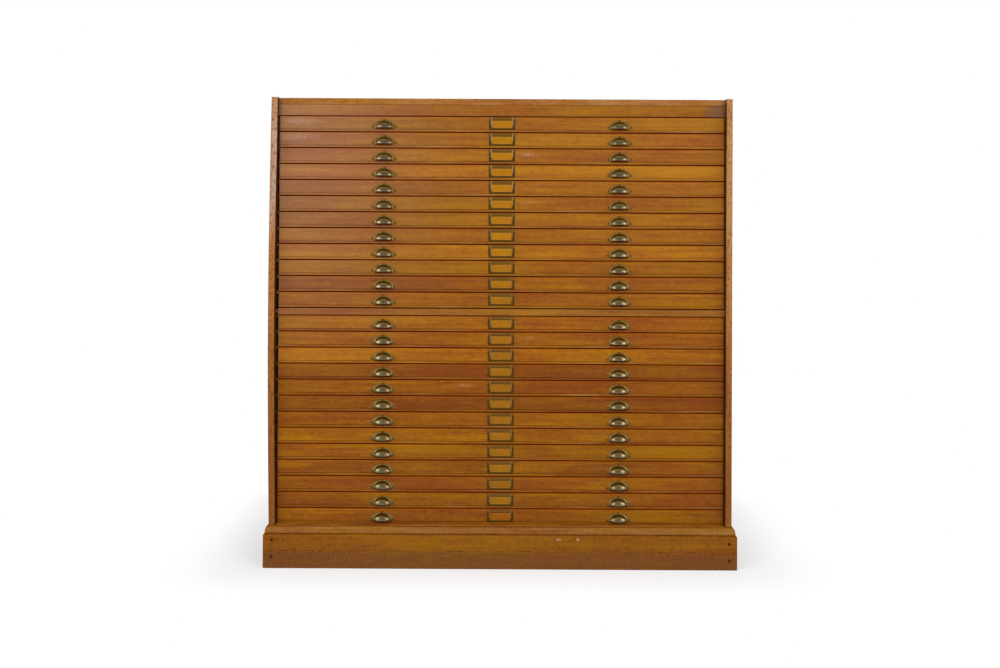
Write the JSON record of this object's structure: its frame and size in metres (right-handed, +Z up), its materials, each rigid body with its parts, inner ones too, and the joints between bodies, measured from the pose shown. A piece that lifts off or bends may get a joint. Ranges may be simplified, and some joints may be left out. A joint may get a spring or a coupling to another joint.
{
  "type": "plan cabinet",
  "caption": "Wide plan cabinet of varnished pine with shallow full-width sliding drawers, brass cup pulls and label frames, on a moulded plinth",
  "frame": {"origin": "on the floor, under the middle of the cabinet's bounding box", "axes": "+Z is up, the drawers open towards -Y, +X is to the right of someone facing the drawers"},
  "size_m": [1.375, 0.934, 1.37],
  "materials": {
    "varnished_pine": "orange-brown varnished pine with a soft sheen, worn and scratched with age",
    "bare_pine": "unvarnished pine, darkened with age",
    "aged_brass": "stamped brass with an olive brown patina, bright where hands rub it"
  },
  "bodies": {
    "carcass": {"left_side": "varnished_pine", "right_side": "varnished_pine", "top_board": "varnished_pine", "bottom_board": "bare_pine", "back_boards": "bare_pine", "top_rail": "varnished_pine", "middle_rails": "varnished_pine", "drawer_runners": "bare_pine", "plinth_front": "varnished_pine", "plinth_returns": "varnished_pine"},
    "drawer_01": {"drawer_01_box": "varnished_pine", "drawer_01_fittings": "aged_brass"},
    "drawer_02": {"drawer_02_box": "varnished_pine", "drawer_02_fittings": "aged_brass"},
    "drawer_03": {"drawer_03_box": "varnished_pine", "drawer_03_fittings": "aged_brass"},
    "drawer_04": {"drawer_04_box": "varnished_pine", "drawer_04_fittings": "aged_brass"},
    "drawer_05": {"drawer_05_box": "varnished_pine", "drawer_05_fittings": "aged_brass"},
    "drawer_06": {"drawer_06_box": "varnished_pine", "drawer_06_fittings": "aged_brass"},
    "drawer_07": {"drawer_07_box": "varnished_pine", "drawer_07_fittings": "aged_brass"},
    "drawer_08": {"drawer_08_box": "varnished_pine", "drawer_08_fittings": "aged_brass"},
    "drawer_09": {"drawer_09_box": "varnished_pine", "drawer_09_fittings": "aged_brass"},
    "drawer_10": {"drawer_10_box": "varnished_pine", "drawer_10_fittings": "aged_brass"},
    "drawer_11": {"drawer_11_box": "varnished_pine", "drawer_11_fittings": "aged_brass"},
    "drawer_12": {"drawer_12_box": "varnished_pine", "drawer_12_fittings": "aged_brass"},
    "drawer_13": {"drawer_13_box": "varnished_pine", "drawer_13_fittings": "aged_brass"},
    "drawer_14": {"drawer_14_box": "varnished_pine", "drawer_14_fittings": "aged_brass"},
    "drawer_15": {"drawer_15_box": "varnished_pine", "drawer_15_fittings": "aged_brass"},
    "drawer_16": {"drawer_16_box": "varnished_pine", "drawer_16_fittings": "aged_brass"},
    "drawer_17": {"drawer_17_box": "varnished_pine", "drawer_17_fittings": "aged_brass"},
    "drawer_18": {"drawer_18_box": "varnished_pine", "drawer_18_fittings": "aged_brass"},
    "drawer_19": {"drawer_19_box": "varnished_pine", "drawer_19_fittings": "aged_brass"},
    "drawer_20": {"drawer_20_box": "varnished_pine", "drawer_20_fittings": "aged_brass"},
    "drawer_21": {"drawer_21_box": "varnished_pine", "drawer_21_fittings": "aged_brass"},
    "drawer_22": {"drawer_22_box": "varnished_pine", "drawer_22_fittings": "aged_brass"},
    "drawer_23": {"drawer_23_box": "varnished_pine", "drawer_23_fittings": "aged_brass"},
    "drawer_24": {"drawer_24_box": "varnished_pine", "drawer_24_fittings": "aged_brass"},
    "drawer_25": {"drawer_25_box": "varnished_pine", "drawer_25_fittings": "aged_brass"}
  },
  "joints": [
    {"name": "drawer_01_slide", "type": "slide", "parent": "carcass", "child": "drawer_01", "axis": [0, -1, 0], "range_m": [0, 0.6]},
    {"name": "drawer_02_slide", "type": "slide", "parent": "carcass", "child": "drawer_02", "axis": [0, -1, 0], "range_m": [0, 0.6]},
    {"name": "drawer_03_slide", "type": "slide", "parent": "carcass", "child": "drawer_03", "axis": [0, -1, 0], "range_m": [0, 0.6]},
    {"name": "drawer_04_slide", "type": "slide", "parent": "carcass", "child": "drawer_04", "axis": [0, -1, 0], "range_m": [0, 0.6]},
    {"name": "drawer_05_slide", "type": "slide", "parent": "carcass", "child": "drawer_05", "axis": [0, -1, 0], "range_m": [0, 0.6]},
    {"name": "drawer_06_slide", "type": "slide", "parent": "carcass", "child": "drawer_06", "axis": [0, -1, 0], "range_m": [0, 0.6]},
    {"name": "drawer_07_slide", "type": "slide", "parent": "carcass", "child": "drawer_07", "axis": [0, -1, 0], "range_m": [0, 0.6]},
    {"name": "drawer_08_slide", "type": "slide", "parent": "carcass", "child": "drawer_08", "axis": [0, -1, 0], "range_m": [0, 0.6]},
    {"name": "drawer_09_slide", "type": "slide", "parent": "carcass", "child": "drawer_09", "axis": [0, -1, 0], "range_m": [0, 0.6]},
    {"name": "drawer_10_slide", "type": "slide", "parent": "carcass", "child": "drawer_10", "axis": [0, -1, 0], "range_m": [0, 0.6]},
    {"name": "drawer_11_slide", "type": "slide", "parent": "carcass", "child": "drawer_11", "axis": [0, -1, 0], "range_m": [0, 0.6]},
    {"name": "drawer_12_slide", "type": "slide", "parent": "carcass", "child": "drawer_12", "axis": [0, -1, 0], "range_m": [0, 0.6]},
    {"name": "drawer_13_slide", "type": "slide", "parent": "carcass", "child": "drawer_13", "axis": [0, -1, 0], "range_m": [0, 0.6]},
    {"name": "drawer_14_slide", "type": "slide", "parent": "carcass", "child": "drawer_14", "axis": [0, -1, 0], "range_m": [0, 0.6]},
    {"name": "drawer_15_slide", "type": "slide", "parent": "carcass", "child": "drawer_15", "axis": [0, -1, 0], "range_m": [0, 0.6]},
    {"name": "drawer_16_slide", "type": "slide", "parent": "carcass", "child": "drawer_16", "axis": [0, -1, 0], "range_m": [0, 0.6]},
    {"name": "drawer_17_slide", "type": "slide", "parent": "carcass", "child": "drawer_17", "axis": [0, -1, 0], "range_m": [0, 0.6]},
    {"name": "drawer_18_slide", "type": "slide", "parent": "carcass", "child": "drawer_18", "axis": [0, -1, 0], "range_m": [0, 0.6]},
    {"name": "drawer_19_slide", "type": "slide", "parent": "carcass", "child": "drawer_19", "axis": [0, -1, 0], "range_m": [0, 0.6]},
    {"name": "drawer_20_slide", "type": "slide", "parent": "carcass", "child": "drawer_20", "axis": [0, -1, 0], "range_m": [0, 0.6]},
    {"name": "drawer_21_slide", "type": "slide", "parent": "carcass", "child": "drawer_21", "axis": [0, -1, 0], "range_m": [0, 0.6]},
    {"name": "drawer_22_slide", "type": "slide", "parent": "carcass", "child": "drawer_22", "axis": [0, -1, 0], "range_m": [0, 0.6]},
    {"name": "drawer_23_slide", "type": "slide", "parent": "carcass", "child": "drawer_23", "axis": [0, -1, 0], "range_m": [0, 0.6]},
    {"name": "drawer_24_slide", "type": "slide", "parent": "carcass", "child": "drawer_24", "axis": [0, -1, 0], "range_m": [0, 0.6]},
    {"name": "drawer_25_slide", "type": "slide", "parent": "carcass", "child": "drawer_25", "axis": [0, -1, 0], "range_m": [0, 0.6]}
  ]
}
